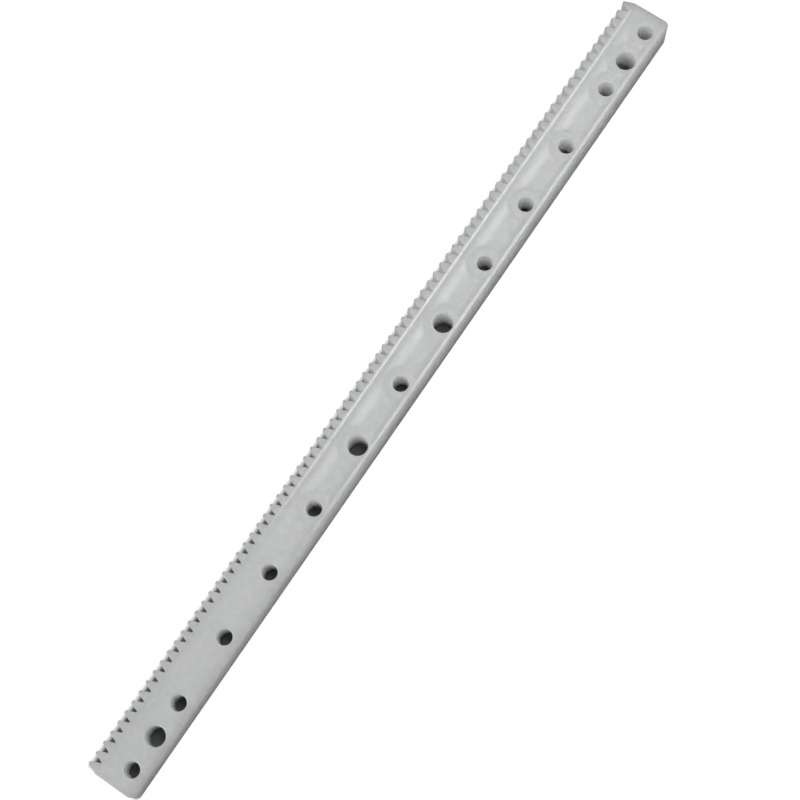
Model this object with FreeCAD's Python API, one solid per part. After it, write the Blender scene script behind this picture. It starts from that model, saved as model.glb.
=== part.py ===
"""Straight gear rack, moulded in one piece of white plastic.

A flat bar lies on its wide face. Rack teeth run along the whole of its front edge, and one row
of round screw holes runs nearer its plain back edge.

Frame, in millimetres: the origin is at the centre of the underside, +X runs along the bar,
+Y points out of the teeth, and +Z is up, through the thickness.
"""
import FreeCAD, Part
import math
import os

# Rack teeth, to the basic rack of their module
module = 0.5
pressure_angle = math.radians(20.0)
tooth_count = 83
addendum = 1.0 * module
dedendum = 1.65 * module
tip_bevel = 0.1

# Bar, cut off at both ends in the middle of a tooth gap
width_over_tips = 7.4
thickness = 5.2
back_corner_radius = 0.7
rim_radius = 0.15
tooth_rim_bevel = 0.1

# Screw holes in one row, each place counted in hole pitches from the middle of the bar
hole_pitch = 10.35
hole_row_from_back = 2.2
small_hole_diameter = 2.2
large_hole_diameter = 2.8
small_hole_places = (-6, -5, -4, -3, -2, 0, 2, 3, 4, 5, 6)
large_hole_places = (-5.5, -1, 1, 5.5)

# Worked out from the above
tooth_pitch = math.pi * module
front_y = width_over_tips / 2
back_y = -width_over_tips / 2
pitch_line_y = front_y - addendum
root_y = pitch_line_y - dedendum
half_length = tooth_count * tooth_pitch / 2
end_flank_foot_y = pitch_line_y - tooth_pitch / 4 / math.tan(pressure_angle)
hole_row_y = back_y + hole_row_from_back

UP = FreeCAD.Vector(0, 0, 1)


def point(x, y, z=0.0):
    """A point in the bar's frame."""
    return FreeCAD.Vector(x, y, z)


def line_edge(start, end):
    """A straight edge between two points."""
    return Part.LineSegment(start, end).toShape()


def arc_edge(centre, radius, start_angle, end_angle):
    """An arc about centre from one angle to the other, both in radians."""
    angles = (start_angle, (start_angle + end_angle) / 2, end_angle)
    places = [centre + point(radius * math.cos(a), radius * math.sin(a)) for a in angles]
    return Part.Arc(*places).toShape()


def tooth_half_width(y):
    """Half the width of a tooth across its straight flanks, at y."""
    return tooth_pitch / 4 + (pitch_line_y - y) * math.tan(pressure_angle)


def tooth_edges(index):
    """One tooth: a land with two small bevels, two straight flanks and what lies at their feet.

    At the foot of a flank is half of the round root. That root is one full arc from flank to
    flank, so the gap's width sets its radius. The outer flank of the first and last tooth has no
    root: it runs straight on until it meets the end of the bar.
    """
    middle_x = (index - (tooth_count - 1) / 2) * tooth_pitch
    half_gap = tooth_pitch / 2 - tooth_half_width(root_y)
    root_radius = half_gap / math.tan((math.pi / 2 - pressure_angle) / 2)
    bevel_y = front_y - tip_bevel
    half_land = tooth_half_width(front_y) - tip_bevel

    edges = [line_edge(point(middle_x - half_land, front_y), point(middle_x + half_land, front_y))]
    for side, outermost in ((-1, 0), (1, tooth_count - 1)):
        land_end = point(middle_x + side * half_land, front_y)
        flank_top = point(middle_x + side * tooth_half_width(bevel_y), bevel_y)
        edges.append(line_edge(land_end, flank_top))
        if index == outermost:
            edges.append(line_edge(flank_top, point(side * half_length, end_flank_foot_y)))
            continue
        root_centre = point(middle_x + side * tooth_pitch / 2, root_y + root_radius)
        towards_tooth = math.pi + pressure_angle if side > 0 else -pressure_angle
        straight_down = 1.5 * math.pi if side > 0 else -0.5 * math.pi
        root = arc_edge(root_centre, root_radius, towards_tooth, straight_down)
        flank_foot = root.valueAt(root.FirstParameter)
        edges += [line_edge(flank_top, flank_foot), root]
    return edges


def end_edges(side):
    """One end of the bar, from the foot of its last flank round to the back edge's middle."""
    back_corner = point(side * (half_length - back_corner_radius), back_y + back_corner_radius)
    outward = 0.0 if side > 0 else math.pi
    quarter_turn = side * math.pi / 2
    end_face = line_edge(
        point(side * half_length, end_flank_foot_y), point(side * half_length, back_corner.y)
    )
    back_round = arc_edge(back_corner, back_corner_radius, outward, outward - quarter_turn)
    half_back = line_edge(point(back_corner.x, back_y), point(0, back_y))
    return [end_face, back_round, half_back]


def toothed_bar():
    """The bar's outline seen from above, raised to its thickness, with its rims still square."""
    edges = end_edges(-1) + end_edges(1)
    for index in range(tooth_count):
        edges += tooth_edges(index)
    outline = Part.Wire(Part.__sortEdges__(edges))
    return Part.Face(outline).extrude(UP * thickness)


def soft_edged_block():
    """The plain block that the bar fills: front rims bevelled, all other rims rounded."""
    block = Part.makeBox(2 * half_length, width_over_tips, thickness, point(-half_length, back_y))
    front_rims = [
        edge
        for edge in block.Edges
        if edge.BoundBox.YMin > 0 and edge.BoundBox.XLength > half_length
    ]
    block = block.makeChamfer(tooth_rim_bevel, front_rims)
    back_uprights = [
        edge
        for edge in block.Edges
        if edge.BoundBox.YMax < 0 and edge.BoundBox.ZLength > thickness / 2
    ]
    block = block.makeFillet(back_corner_radius, back_uprights)
    level_rims = [
        edge
        for edge in block.Edges
        if edge.BoundBox.YMin < 0 and edge.BoundBox.ZLength < tooth_rim_bevel / 2
    ]
    return block.makeFillet(rim_radius, level_rims)


def screw_hole(place, diameter):
    """What one hole takes away, right through the thickness."""
    return Part.makeCylinder(diameter / 2, thickness, point(place * hole_pitch, hole_row_y))


def gear_rack():
    """The finished rack: the toothed bar kept within its soft-edged block, less the holes."""
    holes = [screw_hole(place, small_hole_diameter) for place in small_hole_places]
    holes += [screw_hole(place, large_hole_diameter) for place in large_hole_places]
    rack = toothed_bar().common(soft_edged_block()).cut(holes)
    return rack.removeSplitter().Solids[0]


def main():
    os.makedirs("parts", exist_ok=True)
    rack = gear_rack()
    rack.exportStep("parts/gear_rack.step")
    print("volume", round(rack.Volume, 1), "valid", rack.isValid())


main()
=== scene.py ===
"""A white moulded gear rack lying on its wide face on a pale floor.

Frame, in metres: the origin is at the centre of the rack's underside, +X runs along the bar, +Y
points out of the teeth, and +Z is up, through the thickness.
"""

import logging
import math
from collections.abc import Iterable
from dataclasses import dataclass, field
from enum import Enum

import bpy
import numpy as np
from mathutils import Matrix, Vector

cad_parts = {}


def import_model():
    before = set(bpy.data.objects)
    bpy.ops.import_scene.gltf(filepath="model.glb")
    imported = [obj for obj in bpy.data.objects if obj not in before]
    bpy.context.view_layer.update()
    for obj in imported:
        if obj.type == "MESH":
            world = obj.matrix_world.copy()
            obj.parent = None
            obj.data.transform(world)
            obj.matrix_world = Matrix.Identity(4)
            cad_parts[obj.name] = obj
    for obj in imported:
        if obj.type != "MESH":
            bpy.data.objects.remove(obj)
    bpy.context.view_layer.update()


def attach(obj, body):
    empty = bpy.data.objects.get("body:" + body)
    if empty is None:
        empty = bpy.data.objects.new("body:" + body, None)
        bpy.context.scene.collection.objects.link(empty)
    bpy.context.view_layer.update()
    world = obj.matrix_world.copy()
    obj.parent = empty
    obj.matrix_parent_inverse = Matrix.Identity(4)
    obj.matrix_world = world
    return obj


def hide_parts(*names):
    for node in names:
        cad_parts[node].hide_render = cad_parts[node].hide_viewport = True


MM = 0.001
MICRON = 0.001 * MM
NEARLY_NONE = 0.5 * MICRON
# The least share of a unit normal along an axis, for a face that looks that way
FACES_AXIS = 0.9
LEVEL = 0.999
WHITE = (1.0, 1.0, 1.0, 1.0)
LOG = logging.getLogger("gear_rack")

Socket = bpy.types.NodeSocket
Triple = tuple[float, float, float]
Colour = tuple[float, float, float, float]


class Element(Enum):
    """What an edit acts on, with its place among Blender's three selection modes."""

    VERTEX = 0
    EDGE = 1
    FACE = 2


class Workpiece:
    """A mesh being shaped: it finds and selects its elements, and applies modifiers."""

    def __init__(self, blank: bpy.types.Object) -> None:
        """Takes a primitive that has just been added, and fixes its place in its mesh.

        Args:
            blank: the primitive.
        """
        self.obj = blank
        bpy.ops.object.select_all(action="DESELECT")
        self.make_active()
        bpy.ops.object.transform_apply(location=True, rotation=True, scale=True)

    def make_active(self) -> None:
        """Makes this the active object, so that operators act on it."""
        self.obj.select_set(True)
        bpy.context.view_layer.objects.active = self.obj

    def points(self) -> np.ndarray:
        """Gives the vertices' places.

        Returns:
            One row of x, y and z for each vertex.
        """
        places = np.empty(len(self.obj.data.vertices) * 3)
        self.obj.data.vertices.foreach_get("co", places)
        return places.reshape(-1, 3)

    def edges(self) -> np.ndarray:
        """Gives the places of the edges' two ends.

        Returns:
            For each edge, a row of x, y and z for either end.
        """
        ends = np.empty(len(self.obj.data.edges) * 2, dtype=np.int64)
        self.obj.data.edges.foreach_get("vertices", ends)
        return self.points()[ends.reshape(-1, 2)]

    def faces(self, what: str) -> np.ndarray:
        """Gives one vector for each face.

        Args:
            what: "normal" or "center".

        Returns:
            One row of x, y and z for each face.
        """
        rows = np.empty(len(self.obj.data.polygons) * 3)
        self.obj.data.polygons.foreach_get(what, rows)
        return rows.reshape(-1, 3)

    def sharp_edges(self, angle: float) -> np.ndarray:
        """Finds the edges at which two faces meet at more than an angle.

        Args:
            angle: the angle.

        Returns:
            True for each such edge.
        """
        self.pick(Element.EDGE, np.zeros(len(self.obj.data.edges), dtype=bool))
        bpy.ops.mesh.edges_select_sharp(sharpness=angle)
        self.leave()
        sharp = np.zeros(len(self.obj.data.edges), dtype=bool)
        self.obj.data.edges.foreach_get("select", sharp)
        return sharp

    def pick(self, element: Element, chosen: np.ndarray | None = None) -> None:
        """Opens the mesh for editing with only the chosen elements selected.

        Args:
            element: what is selected.
            chosen: True for each one that is selected, or None for all of them.
        """
        self.leave()
        mesh = self.obj.data
        kinds = (mesh.vertices, mesh.edges, mesh.polygons)
        for kind in kinds:
            kind.foreach_set("select", np.zeros(len(kind), dtype=bool))
        elements = kinds[element.value]
        wanted = np.ones(len(elements), dtype=bool) if chosen is None else chosen
        elements.foreach_set("select", wanted)
        modes = [element.value == index for index in range(len(kinds))]
        bpy.context.tool_settings.mesh_select_mode = modes
        bpy.ops.object.mode_set(mode="EDIT")

    def leave(self) -> None:
        """Goes back to object mode, where the mesh's data is up to date."""
        if bpy.context.mode != "OBJECT":
            bpy.ops.object.mode_set(mode="OBJECT")

    def delete_faces(self, chosen: np.ndarray) -> None:
        """Deletes the chosen faces.

        Args:
            chosen: True for each face that goes.
        """
        self.pick(Element.FACE, chosen)
        bpy.ops.mesh.delete(type="FACE")
        self.leave()

    def cut_away(self, place: Triple, keep: Triple, fill: bool = False) -> None:
        """Cuts the mesh along a plane and throws away what is behind it.

        Args:
            place: a point on the plane.
            keep: the plane's normal, which points to the side that stays.
            fill: whether the cut is closed with a face.
        """
        self.pick(Element.FACE)
        bpy.ops.mesh.bisect(
            plane_co=place, plane_no=keep, clear_inner=True, use_fill=fill, threshold=NEARLY_NONE
        )
        self.leave()

    def divide(self, chosen: np.ndarray, rows: Iterable[float], columns: Iterable[float]) -> None:
        """Cuts level faces along straight lines, and leaves the other faces as they are.

        Args:
            chosen: True for each face that is cut.
            rows: the y of each cut that runs along the bar.
            columns: the x of each cut that runs across it.
        """
        self.pick(Element.FACE, chosen)
        bpy.ops.mesh.hide(unselected=True)
        cuts = [((0, y, 0), (0, 1, 0)) for y in rows]
        cuts += [((x, 0, 0), (1, 0, 0)) for x in columns]
        for place, normal in cuts:
            bpy.ops.mesh.select_all(action="SELECT")
            bpy.ops.mesh.bisect(plane_co=place, plane_no=normal, threshold=NEARLY_NONE)
        bpy.ops.mesh.reveal(select=False)
        self.leave()

    def modify(self, kind: str, **settings: object) -> None:
        """Adds a modifier and applies it.

        Args:
            kind: the modifier's type.
            settings: its settings.
        """
        self.leave()
        self.make_active()
        modifier = self.obj.modifiers.new(kind.title(), kind)
        for name, value in settings.items():
            setattr(modifier, name, value)
        bpy.ops.object.modifier_apply(modifier=modifier.name)


def smooth_step(value: np.ndarray, start: float, end: float) -> np.ndarray:
    """Rises from 0 at start to 1 at end, level at both, or falls where end is less than start.

    Args:
        value: where it is wanted.
        start: where it is 0.
        end: where it is 1.

    Returns:
        The height at each value.
    """
    share = np.clip((value - start) / (end - start), 0.0, 1.0)
    return share * share * (3.0 - 2.0 * share)


@dataclass
class ToothForm:
    """A rack tooth with a deep, full round root and small rounds at the corners of its tip.

    Attributes:
        module: the module, which is also the height from the pitch line to the tip.
        dedendum: the depth from the pitch line to the root.
        pressure_angle: how far a flank leans from square.
        tip_radius: the round at the corners of the tip.
        root_steps: the flats that make up half of a root.
        tip_steps: the flats that make up the round of one corner.
    """

    module: float = 0.5 * MM
    dedendum: float = 0.825 * MM
    pressure_angle: float = math.radians(20.0)
    tip_radius: float = 0.16 * MM
    root_steps: int = 5
    tip_steps: int = 4

    @property
    def pitch(self) -> float:
        """The distance from tooth to tooth."""
        return math.pi * self.module

    @property
    def height(self) -> float:
        """The distance from root to tip."""
        return self.module + self.dedendum

    def half_width(self, below_tip: float) -> float:
        """Gives half of a tooth's width across its straight flanks.

        Args:
            below_tip: how far below the tip it is measured.

        Returns:
            Half of the width.
        """
        return self.pitch / 4 + (below_tip - self.module) * math.tan(self.pressure_angle)

    def outline(self) -> list[tuple[float, float]]:
        """Follows one flank from the middle of the gap up to the tip's land.

        Returns:
            Half of the tooth's width and the height over the root, for each step.
        """
        turn = math.pi / 2 - self.pressure_angle
        half_gap = self.pitch / 2 - self.half_width(self.height)
        root_radius = half_gap / math.tan(turn / 2)
        steps = []
        for index in range(1, self.root_steps + 1):
            angle = turn * index / self.root_steps
            rise = root_radius * (1 - math.cos(angle))
            steps.append((self.pitch / 2 - root_radius * math.sin(angle), rise))
        round_middle = self.half_width(0.0) - self.tip_radius * math.tan(turn / 2)
        for index in range(self.tip_steps + 1):
            angle = self.pressure_angle + turn * index / self.tip_steps
            rise = self.height - self.tip_radius * (1 - math.sin(angle))
            steps.append((round_middle + self.tip_radius * math.cos(angle), rise))
        return steps


@dataclass
class HoleRow:
    """The screw holes, all in one row.

    Attributes:
        pitch: the unit in which the places are counted from the middle of the bar.
        from_back: how far in from the back edge the row runs.
        small_radius: the radius of the small holes.
        large_radius: the radius of the large ones.
        small_places: where the small holes are.
        large_places: where the large ones are.
        sides: the flats that make up a hole.
    """

    pitch: float = 10.35 * MM
    from_back: float = 2.2 * MM
    small_radius: float = 1.1 * MM
    large_radius: float = 1.4 * MM
    small_places: tuple[float, ...] = (-6, -5, -4, -3, -2, 0, 2, 3, 4, 5, 6)
    large_places: tuple[float, ...] = (-5.5, -1, 1, 5.5)
    sides: int = 48

    def holes(self) -> list[tuple[float, float]]:
        """Gives the holes from the left end of the bar to the right.

        Returns:
            Each hole's x and radius.
        """
        small = [(place * self.pitch, self.small_radius) for place in self.small_places]
        large = [(place * self.pitch, self.large_radius) for place in self.large_places]
        return sorted(small + large)


@dataclass
class SinkMarks:
    """How the wide face sinks between its rims and the rings round the holes.

    Across the bar there is a small step behind the teeth, and then a shallow trough. It is deepest
    beside the hole row and rises again to the back rim, which falls away a little to the edge.
    Along the bar, the face round each hole stays up, and so parts the trough into dishes.

    Attributes:
        step_front: the y at which the step begins.
        step_foot: the y at which it ends.
        step_depth: how far it goes down.
        ledge: the y of the slight rise behind the step.
        ledge_rise: the height of that rise.
        trough_floor_front: the y from which the trough is at its deepest.
        trough_depth: how far it lies below the ledge.
        back_foot: the y at which the trough begins to rise to the back rim.
        back_rim: the y at which it has risen.
        back_edge: the y at which the back rim has fallen away in full.
        back_fall: how far it falls.
        ring: the width of the raised ring round a hole.
        ring_slope: the width of the slope outside the ring.
        end_rim: the width of the raised strip at either end.
        end_slope: the width of the slope beside that strip.
        faint_until: the x up to which the marks are faint.
        full_from: the x from which they have their full depth.
        faint: the share of their depth where they are faint.
        least: a depth that no longer counts.
    """

    step_front: float = 2.27 * MM
    step_foot: float = 1.77 * MM
    step_depth: float = 0.040 * MM
    ledge: float = 1.33 * MM
    ledge_rise: float = 0.018 * MM
    trough_floor_front: float = -0.50 * MM
    trough_depth: float = 0.078 * MM
    back_foot: float = -2.30 * MM
    back_rim: float = -2.95 * MM
    back_edge: float = -3.55 * MM
    back_fall: float = 0.034 * MM
    ring: float = 0.75 * MM
    ring_slope: float = 0.80 * MM
    end_rim: float = 0.9 * MM
    end_slope: float = 0.8 * MM
    faint_until: float = -33.0 * MM
    full_from: float = -19.0 * MM
    faint: float = 0.3
    least: float = 0.1 * MICRON

    def across(self, y: np.ndarray) -> np.ndarray:
        """Gives the depth across the bar, away from any hole.

        Args:
            y: places across the bar.

        Returns:
            How far the face has sunk at each place.
        """
        step = self.step_depth * smooth_step(y, self.step_front, self.step_foot)
        ledge = self.ledge_rise * smooth_step(y, self.step_foot, self.ledge)
        trough = self.trough_depth * smooth_step(y, self.ledge, self.trough_floor_front)
        return (step - ledge + trough) * smooth_step(y, self.back_rim, self.back_foot)

    def depth(self, x: np.ndarray, y: np.ndarray, bar: "RackBar") -> np.ndarray:
        """Gives the depth anywhere on the wide face.

        Args:
            x: places along the bar.
            y: places across it.
            bar: the bar, for its holes and ends.

        Returns:
            How far the face has sunk at each place.
        """
        depth = self.across(y)
        for hole_x, radius in bar.holes.holes():
            reach = np.hypot(x - hole_x, y - bar.hole_y)
            start = radius + self.ring
            depth *= smooth_step(reach, start, start + self.ring_slope)
        depth += self.back_fall * smooth_step(y, self.back_rim, self.back_edge)
        from_end = bar.length / 2 - np.abs(x)
        depth *= smooth_step(from_end, self.end_rim, self.end_rim + self.end_slope)
        strength = smooth_step(x, self.faint_until, self.full_from)
        return depth * (self.faint + (1.0 - self.faint) * strength)


@dataclass
class RackBar:
    """The whole rack: bar, teeth and holes in one closed mesh.

    Attributes:
        width: the width over the tips of the teeth.
        thickness: the height of the bar as it lies.
        tooth_count: the teeth from end to end.
        corner_radius: the round of the upright back corners.
        corner_steps: the flats that make up that round.
        back_rim: the width of the round along the rim at the back.
        end_rim: its width at the ends.
        hole_rim: its width at the mouths of the holes.
        tooth_rim: its width along the teeth.
        rim_steps: the flats that make up each of these rounds.
        rim_angle: a level edge is a rim if its faces meet at more than this.
        rim_reach: how far outside a hole's radius an edge still belongs to its mouth.
        flat_angle: faces that meet at less than this are joined into one.
        stray_edge: edges shorter than this are closed up.
        comb_margin: how far the strip that is divided at the tooth gaps reaches behind the roots.
        fine_column: the width of the face's cells near a hole.
        coarse_column: their width elsewhere.
        column_margin: how far past the slope round a hole the narrow cells reach.
        first_row: the place of the first row, in from the back edge.
        back_rows_end: the y up to which rows are close together at the back.
        step_rows_start: the y from which they are close together again, at the step.
        step_rows_end: the y up to which they are.
        comb_rows_start: the y of the first row beside the teeth.
        fine_row: the distance from row to row where they are close together.
        coarse_row: their distance along the hole row.
        comb_row: their distance beside the teeth.
        waviness: half of the greatest depth of the face's waves.
        wave_size: how far apart the waves are.
        smooth_angle: faces that meet at less than this are shaded as one.
        flat_weight: how strongly large faces set the shading of the rounds beside them.
        most_sides: faces with more sides than this are parted into triangles.
    """

    width: float = 7.4 * MM
    thickness: float = 5.2 * MM
    tooth_count: int = 83
    corner_radius: float = 0.7 * MM
    corner_steps: int = 8
    back_rim: float = 0.12 * MM
    end_rim: float = 0.12 * MM
    hole_rim: float = 0.12 * MM
    tooth_rim: float = 0.07 * MM
    rim_steps: int = 3
    rim_angle: float = math.radians(60)
    rim_reach: float = 10 * MICRON
    flat_angle: float = math.radians(0.5)
    stray_edge: float = 12 * MICRON
    comb_margin: float = 0.525 * MM
    fine_column: float = 0.16 * MM
    coarse_column: float = 0.32 * MM
    column_margin: float = 0.4 * MM
    first_row: float = 0.20 * MM
    back_rows_end: float = -2.20 * MM
    step_rows_start: float = 1.20 * MM
    step_rows_end: float = 2.30 * MM
    comb_rows_start: float = 2.40 * MM
    fine_row: float = 0.10 * MM
    coarse_row: float = 0.20 * MM
    comb_row: float = 0.30 * MM
    waviness: float = 0.012 * MM
    wave_size: float = 2.6 * MM
    smooth_angle: float = math.radians(40)
    flat_weight: int = 50
    most_sides: int = 4
    tooth: ToothForm = field(default_factory=ToothForm)
    holes: HoleRow = field(default_factory=HoleRow)
    sink: SinkMarks = field(default_factory=SinkMarks)

    @property
    def length(self) -> float:
        """The length over both ends, which lie in the middle of a tooth gap."""
        return self.tooth_count * self.tooth.pitch

    @property
    def front(self) -> float:
        """Where the tooth tips are."""
        return self.width / 2

    @property
    def back(self) -> float:
        """Where the plain back edge is."""
        return -self.width / 2

    @property
    def root(self) -> float:
        """Where the gaps between the teeth end."""
        return self.front - self.tooth.height

    @property
    def hole_y(self) -> float:
        """Where the hole row runs."""
        return self.back + self.holes.from_back

    def build(self) -> bpy.types.Object:
        """Makes the rack.

        The right half is modelled, with a little more to the left of its middle, and cut back to
        a quarter: right and upper. That is mirrored along the bar, the wide face is sunk, and the
        underside is the same again.

        Returns:
            The finished object.
        """
        piece = self.one_tooth()
        self.run_of_teeth(piece)
        self.trim_last_flank(piece)
        self.round_corner(piece)
        self.mark_out_holes(piece)
        self.bore_holes(piece)
        piece.cut_away((0, 0, self.thickness / 2), (0, 0, 1))
        piece.cut_away((0, 0, 0), (1, 0, 0))
        self.soften_rims(piece)
        self.divide_face(piece)
        piece.modify("MIRROR", use_axis=(True, False, False), merge_threshold=MICRON)
        self.sink_face(piece)
        self.mirror_down(piece)
        self.shade(piece)
        return piece.obj

    def one_tooth(self) -> Workpiece:
        """Makes one pitch of the bar with its tooth, the one to the left of the middle tooth.

        Returns:
            The tooth, open on both of its sides.
        """
        pitch = self.tooth.pitch
        bpy.ops.mesh.primitive_cube_add(
            size=1.0,
            location=(-pitch, (self.back + self.root) / 2, self.thickness / 2),
            scale=(pitch, self.root - self.back, self.thickness),
        )
        piece = Workpiece(bpy.context.active_object)
        piece.obj.name = "rack_body"
        piece.pick(Element.FACE, piece.faces("normal")[:, 1] > FACES_AXIS)
        half_width = pitch / 2
        height = 0.0
        for next_half_width, next_height in self.tooth.outline():
            rise = (0, next_height - height, 0)
            bpy.ops.mesh.extrude_region_move(TRANSFORM_OT_translate={"value": rise})
            narrower = (next_half_width / half_width, 1, 1)
            bpy.ops.transform.resize(value=narrower, center_override=(-pitch, 0, 0))
            half_width, height = next_half_width, next_height
        piece.leave()
        sideways = np.abs(piece.faces("normal")[:, 0]) > FACES_AXIS
        below_teeth = piece.faces("center")[:, 1] < self.root
        piece.delete_faces(sideways & below_teeth)
        return piece

    def run_of_teeth(self, piece: Workpiece) -> None:
        """Repeats the tooth from just left of the middle to the right end, and closes both ends.

        Args:
            piece: the tooth.
        """
        pitch = self.tooth.pitch
        # Those right of the middle tooth, the middle tooth itself and the one to its left
        count = self.tooth_count // 2 + 2
        piece.modify(
            "ARRAY",
            count=count,
            use_relative_offset=False,
            use_constant_offset=True,
            constant_offset_displace=(pitch, 0, 0),
            use_merge_vertices=True,
            merge_threshold=MICRON,
        )
        left = -1.5 * pitch
        for open_end in (left, left + count * pitch):
            at_end = np.abs(piece.edges()[:, :, 0] - open_end) < MICRON
            piece.pick(Element.EDGE, at_end.all(axis=1))
            bpy.ops.mesh.edge_face_add()
            piece.leave()
        piece.pick(Element.FACE)
        bpy.ops.mesh.dissolve_limited(angle_limit=self.flat_angle)
        bpy.ops.mesh.select_all(action="SELECT")
        bpy.ops.mesh.normals_make_consistent(inside=False)
        piece.leave()

    @property
    def last_flank(self) -> tuple[float, float]:
        """Where the last tooth's outer flank crosses the pitch line."""
        return self.length / 2 - self.tooth.pitch / 4, self.front - self.tooth.module

    @property
    def last_flank_foot(self) -> float:
        """Where that flank, which has no root, meets the end of the bar."""
        drop = self.tooth.pitch / 4 / math.tan(self.tooth.pressure_angle)
        return self.last_flank[1] - drop

    def trim_last_flank(self, piece: Workpiece) -> None:
        """Takes the half root off the right end, so that the last flank runs on to the end.

        Args:
            piece: the bar, closed at both ends.
        """
        x, y = self.last_flank
        outward = (math.cos(self.tooth.pressure_angle), math.sin(self.tooth.pressure_angle))
        place = (x + MICRON * outward[0], y + MICRON * outward[1], 0)
        piece.cut_away(place, (-outward[0], -outward[1], 0), fill=True)
        piece.pick(Element.VERTEX)
        bpy.ops.mesh.remove_doubles(threshold=self.stray_edge)
        piece.leave()

    def round_corner(self, piece: Workpiece) -> None:
        """Rounds the upright back corner of the right end.

        Args:
            piece: the bar with its corner square.
        """
        ends = piece.edges()
        upright = np.abs(ends[:, 0, 2] - ends[:, 1, 2]) > self.thickness / 2
        here = np.abs(ends[:, 0, :2] - (self.length / 2, self.back)).max(axis=1) < MICRON
        piece.pick(Element.EDGE, upright & here)
        bpy.ops.mesh.bevel(
            offset_type="OFFSET", offset=self.corner_radius, segments=self.corner_steps
        )
        piece.leave()

    def wide_face(self, piece: Workpiece) -> np.ndarray:
        """Finds the faces that make up the wide upper face.

        Args:
            piece: the rack, in whatever state it is.

        Returns:
            True for each face that belongs to it.
        """
        at_top = np.abs(piece.faces("center")[:, 2] - self.thickness) < MICRON
        return at_top & (piece.faces("normal")[:, 2] > LEVEL)

    def right_holes(self) -> list[tuple[float, float]]:
        """Gives the x and radius of the middle hole and of those to its right."""
        return [(x, radius) for x, radius in self.holes.holes() if x > -MICRON]

    def mark_out_holes(self, piece: Workpiece) -> None:
        """Divides the wide face by lines through the holes and midway between them.

        No face then has a hole inside it, and every line meets a hole's edge squarely.

        Args:
            piece: the bar without holes.
        """
        comb_foot = self.root - self.comb_margin
        piece.divide(self.wide_face(piece), (comb_foot, self.hole_y), ())
        at_teeth = piece.faces("center")[:, 1] > comb_foot
        gaps = [(index + 0.5) * self.tooth.pitch for index in range(self.tooth_count // 2)]
        piece.divide(self.wide_face(piece) & at_teeth, (), gaps)
        places = [x for x, _ in self.right_holes()]
        midways = [(x + next_x) / 2 for x, next_x in zip(places, places[1:])]
        at_teeth = piece.faces("center")[:, 1] > comb_foot
        piece.divide(self.wide_face(piece) & ~at_teeth, (), places + midways)

    def bore_holes(self, piece: Workpiece) -> None:
        """Takes the screw holes out of the right half.

        Args:
            piece: the bar without holes.
        """
        pins = []
        for x, radius in self.right_holes():
            bpy.ops.object.select_all(action="DESELECT")
            bpy.ops.mesh.primitive_cylinder_add(
                vertices=self.holes.sides,
                radius=radius,
                depth=3 * self.thickness,
                location=(x, self.hole_y, self.thickness / 2),
            )
            pins.append(bpy.context.active_object)
        for pin in pins:
            pin.select_set(True)
        bpy.ops.object.join()
        cutter = bpy.context.active_object
        bpy.ops.object.select_all(action="DESELECT")
        piece.modify("BOOLEAN", operation="DIFFERENCE", solver="EXACT", object=cutter)
        bpy.data.objects.remove(cutter)
        piece.pick(Element.VERTEX)
        bpy.ops.mesh.remove_doubles(threshold=MICRON)
        piece.leave()

    def soften_rims(self, piece: Workpiece) -> None:
        """Rounds the rims of the wide face: the outline, the teeth and the mouths of the holes.

        Args:
            piece: the upper right quarter with sharp rims.
        """
        ends = piece.edges()
        level = np.abs(ends[:, :, 2] - self.thickness).max(axis=1) < MICRON
        rim = level & piece.sharp_edges(self.rim_angle)
        middle = ends.mean(axis=1)
        at_hole = np.zeros(len(rim), dtype=bool)
        for x, radius in self.holes.holes():
            reach = np.hypot(middle[:, 0] - x, middle[:, 1] - self.hole_y)
            at_hole |= reach < radius + self.rim_reach
        at_teeth = middle[:, 1] > self.last_flank_foot + MICRON
        at_end = middle[:, 0] > self.length / 2 - MICRON
        widths = (
            (rim, self.back_rim),
            (rim & at_hole, self.hole_rim),
            (rim & at_end, self.end_rim),
            (rim & at_teeth, self.tooth_rim),
        )
        for chosen, width in widths:
            piece.pick(Element.EDGE, chosen)
            # Weights add up, so an earlier one is taken off first
            bpy.ops.transform.edge_bevelweight(value=-1.0)
            bpy.ops.transform.edge_bevelweight(value=width / self.back_rim)
            piece.leave()
        piece.modify(
            "BEVEL",
            width=self.back_rim,
            segments=self.rim_steps,
            limit_method="WEIGHT",
            use_clamp_overlap=False,
        )

    def columns(self) -> Iterable[float]:
        """Gives the cuts along the right half of the bar, close together round the holes.

        Yields:
            The x of each cut.
        """
        reach = self.sink.ring + self.sink.ring_slope + self.column_margin
        end = self.length / 2 - self.back_rim
        x = self.coarse_column / 2
        while x < end:
            near = any(abs(x - hole_x) < radius + reach for hole_x, radius in self.holes.holes())
            yield x
            x += self.fine_column if near else self.coarse_column

    def rows(self) -> Iterable[float]:
        """Gives the cuts across the bar, close together at the edges of the sunk panel.

        Yields:
            The y of each cut.
        """
        runs = (
            (self.back + self.first_row, self.back_rows_end, self.fine_row),
            (self.back_rows_end, self.step_rows_start, self.coarse_row),
            (self.step_rows_start, self.step_rows_end, self.fine_row),
            (self.comb_rows_start, self.front - 2 * self.tooth_rim, self.comb_row),
        )
        for start, end, step in runs:
            yield from np.arange(start, end - step / 4, step)

    def divide_face(self, piece: Workpiece) -> None:
        """Cuts the wide face into a fine grid, and leaves the rims and walls as they are.

        Args:
            piece: the upper right quarter.
        """
        piece.divide(self.wide_face(piece), self.rows(), self.columns())

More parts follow.
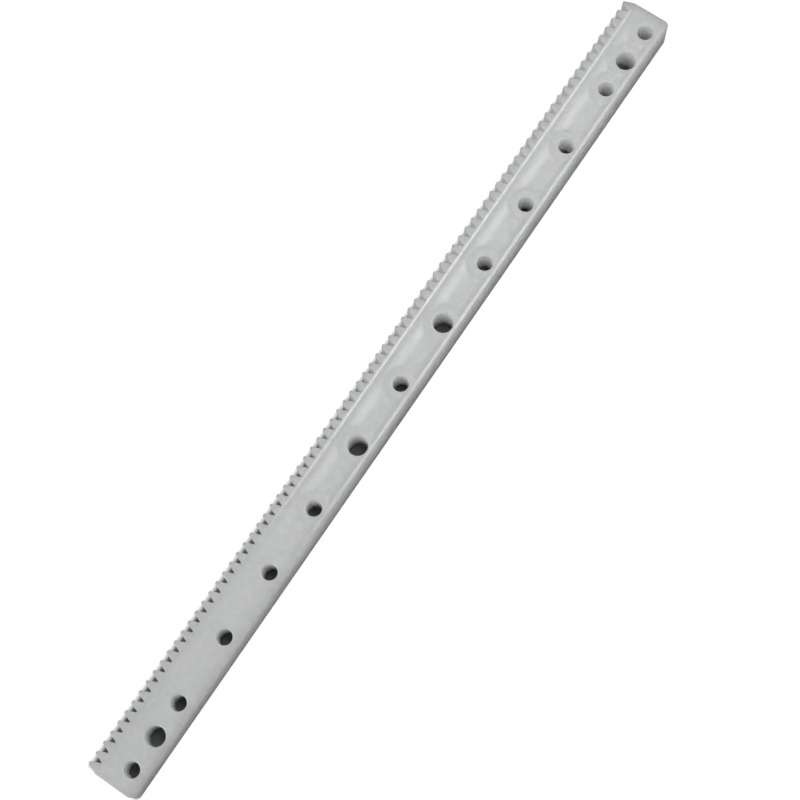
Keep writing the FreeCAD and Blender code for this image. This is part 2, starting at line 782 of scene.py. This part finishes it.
    def sink_face(self, piece: Workpiece) -> None:
        """Lowers the wide face where it has sunk, and gives it a slight waviness.

        Args:
            piece: the upper half.
        """
        points = piece.points()
        on_face = np.abs(points[:, 2] - self.thickness) < MICRON
        depth = self.sink.depth(points[:, 0], points[:, 1], self) * on_face
        deepest = float(depth.max())
        sunk = piece.obj.vertex_groups.new(name="sunk")
        for index in np.flatnonzero(depth > self.sink.least):
            sunk.add([int(index)], float(depth[index]) / deepest, "REPLACE")
        piece.modify(
            "DISPLACE",
            direction="Z",
            strength=-deepest,
            mid_level=0.0,
            vertex_group="sunk",
            texture_coords="LOCAL",
        )
        clouds = bpy.data.textures.new("waviness", "CLOUDS")
        clouds.noise_scale = self.wave_size
        clouds.noise_depth = 1
        piece.modify(
            "DISPLACE",
            direction="Z",
            strength=-2 * self.waviness,
            mid_level=0.0,
            vertex_group="sunk",
            texture=clouds,
            texture_coords="LOCAL",
        )
        bpy.data.textures.remove(clouds)
        piece.obj.vertex_groups.clear()

    def mirror_down(self, piece: Workpiece) -> None:
        """Adds the lower half, the same as the upper one.

        Args:
            piece: the upper half.
        """
        bpy.ops.object.empty_add(location=(0, 0, self.thickness / 2))
        centre = bpy.context.active_object
        bpy.ops.object.select_all(action="DESELECT")
        piece.modify(
            "MIRROR",
            use_axis=(False, False, True),
            mirror_object=centre,
            merge_threshold=MICRON,
        )
        bpy.data.objects.remove(centre)
        piece.pick(Element.FACE)
        bpy.ops.mesh.normals_make_consistent(inside=False)
        piece.leave()

    def shade(self, piece: Workpiece) -> None:
        """Shades the rounds smoothly, keeps the flats flat and parts the many-sided faces.

        Args:
            piece: the whole rack.
        """
        piece.make_active()
        bpy.ops.object.shade_smooth_by_angle(angle=self.smooth_angle)
        piece.modify(
            "WEIGHTED_NORMAL", mode="FACE_AREA", weight=self.flat_weight, keep_sharp=True
        )
        piece.modify(
            "TRIANGULATE",
            min_vertices=self.most_sides + 1,
            ngon_method="BEAUTY",
            keep_custom_normals=True,
        )


class Nodes:
    """Places and joins the nodes of one material or world."""

    def __init__(self, owner: bpy.types.Material | bpy.types.World, shader: str) -> None:
        """Opens the nodes of a new material or world.

        Args:
            owner: the material or world.
            shader: the name of the shader that it starts with.
        """
        owner.use_nodes = True
        self.tree = owner.node_tree
        self.shader = self.tree.nodes[shader]

    def put(self, socket: Socket, value: object) -> None:
        """Gives an input socket its value.

        Args:
            socket: the input.
            value: a constant, or the output socket that it is joined to.
        """
        if isinstance(value, Socket):
            self.tree.links.new(value, socket)
        else:
            socket.default_value = value

    def add(self, kind: str, **settings: object) -> bpy.types.Node:
        """Adds a node.

        Args:
            kind: the node's type.
            settings: its settings. Those named like an input socket are set there.

        Returns:
            The node.
        """
        node = self.tree.nodes.new(kind)
        for name, value in settings.items():
            socket = node.inputs.get(name.replace("_", " "))
            if socket is None:
                setattr(node, name, value)
            else:
                self.put(socket, value)
        return node

    def calculate(self, operation: str, *values: float | Socket) -> Socket:
        """Works out a number.

        Args:
            operation: what is done, as the Math node names it.
            values: what it is done with, in order.

        Returns:
            The socket that puts out the result.
        """
        node = self.add("ShaderNodeMath", operation=operation)
        for socket, value in zip(node.inputs, values):
            self.put(socket, value)
        return node.outputs["Value"]

    def remap(
        self,
        value: Socket,
        span: tuple[float, float] = (0.0, 1.0),
        low: float | Socket = 0.0,
        high: float | Socket = 1.0,
    ) -> Socket:
        """Turns one span of values into another, and holds what lies outside at its ends.

        Args:
            value: the value.
            span: the values that become low and high.
            low: what the first becomes.
            high: what the second becomes.

        Returns:
            The socket that puts out the result.
        """
        node = self.add("ShaderNodeMapRange", Value=value, From_Min=span[0], From_Max=span[1])
        self.put(node.inputs["To Min"], low)
        self.put(node.inputs["To Max"], high)
        return node.outputs["Result"]

    def mix(self, share: Socket, first: Colour | Socket, second: Colour | Socket) -> Socket:
        """Mixes two colours.

        Args:
            share: how much of the second goes in, from 0 to 1.
            first: the first colour.
            second: the second colour.

        Returns:
            The socket that puts out the mixed colour.
        """
        node = self.add("ShaderNodeMix", data_type="RGBA", Factor=share)
        colours = [socket for socket in node.inputs if socket.type == "RGBA"]
        self.put(colours[0], first)
        self.put(colours[1], second)
        return next(socket for socket in node.outputs if socket.type == "RGBA")


@dataclass(frozen=True)
class MouldedPlastic:
    """White translucent plastic from the mould: wide faces with a slight gloss, and duller walls.

    Attributes:
        name: the material's name.
        cool: the cooler of the two whites that the wide faces drift between.
        warm: the warmer one.
        blotch: the scale of the drift.
        blotch_span: the noise values that give the cool white and the warm one.
        face_roughness: the least and the greatest roughness of the wide faces.
        sheen_finer: how many times finer than the drift their roughness varies.
        sheen_span: the noise values that give the least roughness and the greatest.
        wall: the white of the walls, paler than the wide faces as painted light.
        wall_roughness: their roughness.
        face_span: how far up or down a normal points on a wall and on a wide face.
        grain: the scale of the fine grain.
        grain_strength: how clearly the grain shows.
        bump: the height of the grain.
        scatter_depth: how far light goes into the plastic.
    """

    name: str = "white_plastic"
    cool: Colour = (0.725, 0.840, 0.790, 1.0)
    warm: Colour = (0.815, 0.805, 0.840, 1.0)
    blotch: float = 420.0
    blotch_span: tuple[float, float] = (0.38, 0.62)
    face_roughness: tuple[float, float] = (0.22, 0.32)
    sheen_finer: float = 2.2
    sheen_span: tuple[float, float] = (0.3, 0.7)
    wall: Colour = (0.925, 0.950, 0.935, 1.0)
    wall_roughness: float = 0.55
    face_span: tuple[float, float] = (0.3, 0.8)
    grain: float = 5200.0
    grain_strength: float = 0.35
    bump: float = 0.012 * MM
    scatter_depth: float = 12.0 * MM

    def build(self) -> bpy.types.Material:
        """Makes the material.

        Returns:
            The material.
        """
        material = bpy.data.materials.new(self.name)
        nodes = Nodes(material, "Principled BSDF")
        place = nodes.add("ShaderNodeTexCoord").outputs["Object"]
        on_face = self.on_wide_face(nodes)
        self.tint(nodes, place, on_face)
        self.gloss(nodes, place, on_face)
        self.roughen(nodes, place)
        nodes.shader.inputs["Subsurface Weight"].default_value = 1.0
        nodes.shader.inputs["Subsurface Radius"].default_value = (1.0, 1.0, 1.0)
        nodes.shader.inputs["Subsurface Scale"].default_value = self.scatter_depth
        return material

    def on_wide_face(self, nodes: Nodes) -> Socket:
        """Tells the wide faces, which look up or down, from the walls.

        Args:
            nodes: the material.

        Returns:
            A socket that puts out 1 on the wide faces and 0 on the walls.
        """
        normal = nodes.add("ShaderNodeTexCoord").outputs["Normal"]
        upward = nodes.add("ShaderNodeSeparateXYZ", Vector=normal).outputs["Z"]
        return nodes.remap(nodes.calculate("ABSOLUTE", upward), self.face_span)

    def tint(self, nodes: Nodes, place: Socket, on_face: Socket) -> None:
        """Drifts between a cool and a warm white, in blotches, and keeps the walls paler as
        painted light.

        Args:
            nodes: the material.
            place: the place on the object.
            on_face: 1 on the wide faces and 0 on the walls.
        """
        blotches = nodes.add(
            "ShaderNodeTexNoise", Vector=place, Scale=self.blotch, Detail=3.0, Roughness=0.55
        )
        share = nodes.remap(blotches.outputs["Fac"], self.blotch_span)
        face = nodes.mix(share, self.cool, self.warm)
        # Painted light: the walls and bores get a paler white than the wide faces
        nodes.put(nodes.shader.inputs["Base Color"], nodes.mix(on_face, self.wall, face))

    def gloss(self, nodes: Nodes, place: Socket, on_face: Socket) -> None:
        """Makes the wide faces slightly glossy, unevenly so, and the walls dull.

        Args:
            nodes: the material.
            place: the place on the object.
            on_face: 1 on the wide faces and 0 on the walls.
        """
        sheen = nodes.add(
            "ShaderNodeTexNoise", Vector=place, Scale=self.blotch * self.sheen_finer, Detail=4.0
        )
        face = nodes.remap(sheen.outputs["Fac"], self.sheen_span, *self.face_roughness)
        roughness = nodes.remap(on_face, low=self.wall_roughness, high=face)
        nodes.put(nodes.shader.inputs["Roughness"], roughness)

    def roughen(self, nodes: Nodes, place: Socket) -> None:
        """Gives the whole surface a very fine grain.

        Args:
            nodes: the material.
            place: the place on the object.
        """
        grain = nodes.add("ShaderNodeTexNoise", Vector=place, Scale=self.grain, Detail=3.0)
        bump = nodes.add(
            "ShaderNodeBump",
            Height=grain.outputs["Fac"],
            Strength=self.grain_strength,
            Distance=self.bump,
        )
        nodes.put(nodes.shader.inputs["Normal"], bump.outputs["Normal"])


@dataclass
class Camera:
    """The view of the photograph: steeply down, from behind the bar's left end.

    Attributes:
        position: where the camera stands.
        aim: the point that it looks at.
        roll: how far it is turned about its line of sight.
        lens: the focal length, in millimetres.
        nearest: the nearest distance that it sees.
        farthest: the farthest.
    """

    position: Triple = (-44.375 * MM, -42.055 * MM, 233.241 * MM)
    aim: Triple = (-1.934 * MM, -2.710 * MM, 5.215 * MM)
    roll: float = math.radians(-56.98)
    lens: float = 78.0
    nearest: float = 1 * MM
    farthest: float = 10.0

    def build(self) -> None:
        """Makes the camera and sets it as the scene's."""
        data = bpy.data.cameras.new("photo_camera")
        data.lens = self.lens
        data.clip_start = self.nearest
        data.clip_end = self.farthest
        camera = bpy.data.objects.new("photo_camera", data)
        bpy.context.scene.collection.objects.link(camera)
        back = (Vector(self.position) - Vector(self.aim)).normalized()
        right = Vector((0, 1, 0)).cross(back).normalized()
        up = back.cross(right)
        turn = Matrix((right, up, back)).transposed() @ Matrix.Rotation(self.roll, 3, "Z")
        camera.matrix_world = Matrix.Translation(self.position) @ turn.to_4x4()
        bpy.context.scene.camera = camera


@dataclass(frozen=True)
class Softbox:
    """A studio lamp with a rectangular face, which hangs level and shines straight down.

    Attributes:
        name: the lamp's name.
        position: the middle of its face.
        size: the length of its face's sides along the bar and across it.
        watts: its power.
    """

    name: str
    position: Triple
    size: tuple[float, float]
    watts: float

    def build(self) -> None:
        """Makes the lamp."""
        data = bpy.data.lights.new(self.name, "AREA")
        data.shape = "RECTANGLE"
        data.size, data.size_y = self.size
        data.energy = self.watts
        lamp = bpy.data.objects.new(self.name, data)
        bpy.context.scene.collection.objects.link(lamp)
        lamp.location = self.position


@dataclass(frozen=True)
class FarSoftbox:
    """A wide studio lamp so far off that it lights the whole rack alike.

    Attributes:
        name: the lamp's name.
        bearing: where its light comes from, turned from +X towards +Y.
        height: the angle at which it stands over the floor.
        spread: the angle that it spans as seen from the rack.
        strength: its strength.
    """

    name: str
    bearing: float
    height: float
    spread: float
    strength: float

    def build(self) -> None:
        """Makes the lamp."""
        data = bpy.data.lights.new(self.name, "SUN")
        data.energy = self.strength
        data.angle = self.spread
        lamp = bpy.data.objects.new(self.name, data)
        bpy.context.scene.collection.objects.link(lamp)
        lamp.rotation_euler = (0.0, math.radians(90) - self.height, self.bearing)


@dataclass
class Studio:
    """The pale floor, the lamps and the white surroundings.

    Attributes:
        bar: the rack that stands there.
        floor_size: the length of the floor's sides.
        floor_albedo: the share of the light that the floor gives back.
        floor_lift: how much the floor is brightened for the eye, up to white.
        floor_roughness: the floor's roughness.
        shade_front: how far past the tips of the teeth the painted deep shade reaches.
        shade_back: how far it reaches past the back edge.
        shade_ends: how far it reaches past the ends.
        shade_soft: the width over which it fades.
        shade_albedo: what the floor gives back in it.
        contact_reach: how near the rack has to be for painted shade on the floor between its
            teeth.
        contact_span: how open the floor is where that shade is full and where it ends.
        contact_samples: the rays that find that out.
        sky: how strongly the surroundings light the rack.
        lamps: the lamps.
    """

    bar: RackBar
    floor_size: float = 3.0
    floor_albedo: float = 0.20
    floor_lift: float = 0.90
    floor_roughness: float = 0.9
    shade_front: float = 1.05 * MM
    shade_back: float = 0.0 * MM
    shade_ends: float = 0.40 * MM
    shade_soft: float = 0.80 * MM
    shade_albedo: float = 0.16
    contact_reach: float = 0.5 * MM
    contact_span: tuple[float, float] = (0.55, 0.95)
    contact_samples: int = 8
    sky: float = 0.11
    lamps: tuple[Softbox | FarSoftbox, ...] = (
        Softbox("long", (0.15, -0.03, 0.46), (0.24, 0.03), 0.78),
        FarSoftbox("main", math.radians(150), math.radians(45), math.radians(30), 1.16),
        FarSoftbox("low", math.radians(265), math.radians(25), math.radians(30), 0.32),
        FarSoftbox("glint", math.radians(40), math.radians(30), math.radians(12), 0.22),
    )

    def build(self) -> None:
        """Makes the floor, the lamps and the world."""
        self.build_floor()
        for lamp in self.lamps:
            lamp.build()
        self.build_world()
        bpy.context.scene.view_settings.view_transform = "Standard"

    def seen_directly(self, nodes: Nodes) -> Socket:
        """Tells the rays that show the background from those that carry light.

        Args:
            nodes: the material or world.

        Returns:
            A socket that puts out 1 for the first and 0 for the second.
        """
        path = nodes.add("ShaderNodeLightPath")
        seen = path.outputs["Is Camera Ray"]
        for ray in ("Is Glossy Ray", "Is Transmission Ray"):
            seen = nodes.calculate("MAXIMUM", seen, path.outputs[ray])
        return seen

    def clear_of_rack(self, nodes: Nodes, parts: bpy.types.Node) -> Socket:
        """Tells the open floor from the floor with painted deep shade right under the rack.

        Args:
            nodes: the floor's material.
            parts: the node that puts out x and y on the floor.

        Returns:
            A socket that puts out 1 on the open floor and 0 in the painted shade.
        """
        half_length = self.bar.length / 2 + self.shade_ends
        sides = (
            ("X", 1.0, half_length),
            ("X", -1.0, half_length),
            ("Y", 1.0, self.bar.front + self.shade_front),
            ("Y", -1.0, -self.bar.back + self.shade_back),
        )
        past = [
            nodes.calculate("MULTIPLY_ADD", parts.outputs[axis], sign, -reach)
            for axis, sign, reach in sides
        ]
        outside = past[0]
        for other in past[1:]:
            outside = nodes.calculate("MAXIMUM", outside, other)
        return nodes.remap(outside, (-self.shade_soft, 0.0))

    def clear_of_teeth(self, nodes: Nodes, parts: bpy.types.Node) -> Socket:
        """Tells the open floor from the floor that the teeth stand close to, which gets painted
        shade.

        Args:
            nodes: the floor's material.
            parts: the node that puts out x and y on the floor.

        Returns:
            A socket that puts out 1 on the open floor and less in the painted shade.
        """
        contact = nodes.add(
            "ShaderNodeAmbientOcclusion", Distance=self.contact_reach, samples=self.contact_samples
        )
        beside = nodes.remap(contact.outputs["AO"], self.contact_span)
        behind = nodes.calculate("LESS_THAN", parts.outputs["Y"], 0.0)
        return nodes.calculate("MAXIMUM", beside, behind)

    def build_floor(self) -> None:
        """Makes the floor: white, with painted shade right under the rack and close in between its
        teeth.
        """
        bpy.ops.object.select_all(action="DESELECT")
        bpy.ops.mesh.primitive_plane_add(size=self.floor_size)
        ground = bpy.context.active_object
        ground.name = "floor"
        material = bpy.data.materials.new("floor")
        nodes = Nodes(material, "Principled BSDF")
        place = nodes.add("ShaderNodeTexCoord").outputs["Object"]
        parts = nodes.add("ShaderNodeSeparateXYZ", Vector=place)
        # Painted shade: under the rack and close between its teeth the floor's colour drops and
        # its lift goes
        light = self.clear_of_rack(nodes, parts)
        bright = nodes.calculate("MULTIPLY", light, self.clear_of_teeth(nodes, parts))
        tone = nodes.remap(light, low=self.shade_albedo, high=self.floor_albedo)
        nodes.put(nodes.shader.inputs["Base Color"], tone)
        nodes.shader.inputs["Roughness"].default_value = self.floor_roughness
        nodes.shader.inputs["Specular IOR Level"].default_value = 0.0
        nodes.shader.inputs["Emission Color"].default_value = WHITE
        lift = nodes.calculate("MULTIPLY", self.seen_directly(nodes), self.floor_lift)
        lift = nodes.calculate("MULTIPLY", lift, bright)
        nodes.put(nodes.shader.inputs["Emission Strength"], lift)
        ground.data.materials.append(material)

    def build_world(self) -> None:
        """Makes the surroundings: white to look at, dimmer as a light."""
        world = bpy.data.worlds.new("studio")
        bpy.context.scene.world = world
        nodes = Nodes(world, "Background")
        nodes.shader.inputs["Color"].default_value = WHITE
        strength = nodes.remap(self.seen_directly(nodes), low=self.sky)
        nodes.put(nodes.shader.inputs["Strength"], strength)


def main() -> None:
    """Builds the rack and the studio round it."""
    logging.basicConfig(level=logging.INFO)
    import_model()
    bar = RackBar()
    Camera().build()
    rack = bar.build()
    rack.data.materials.append(MouldedPlastic().build())
    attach(rack, "root")
    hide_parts("gear_rack")
    LOG.info("%s: %d faces", rack.name, len(rack.data.polygons))
    Studio(bar).build()


if __name__ == "__main__":
    main()
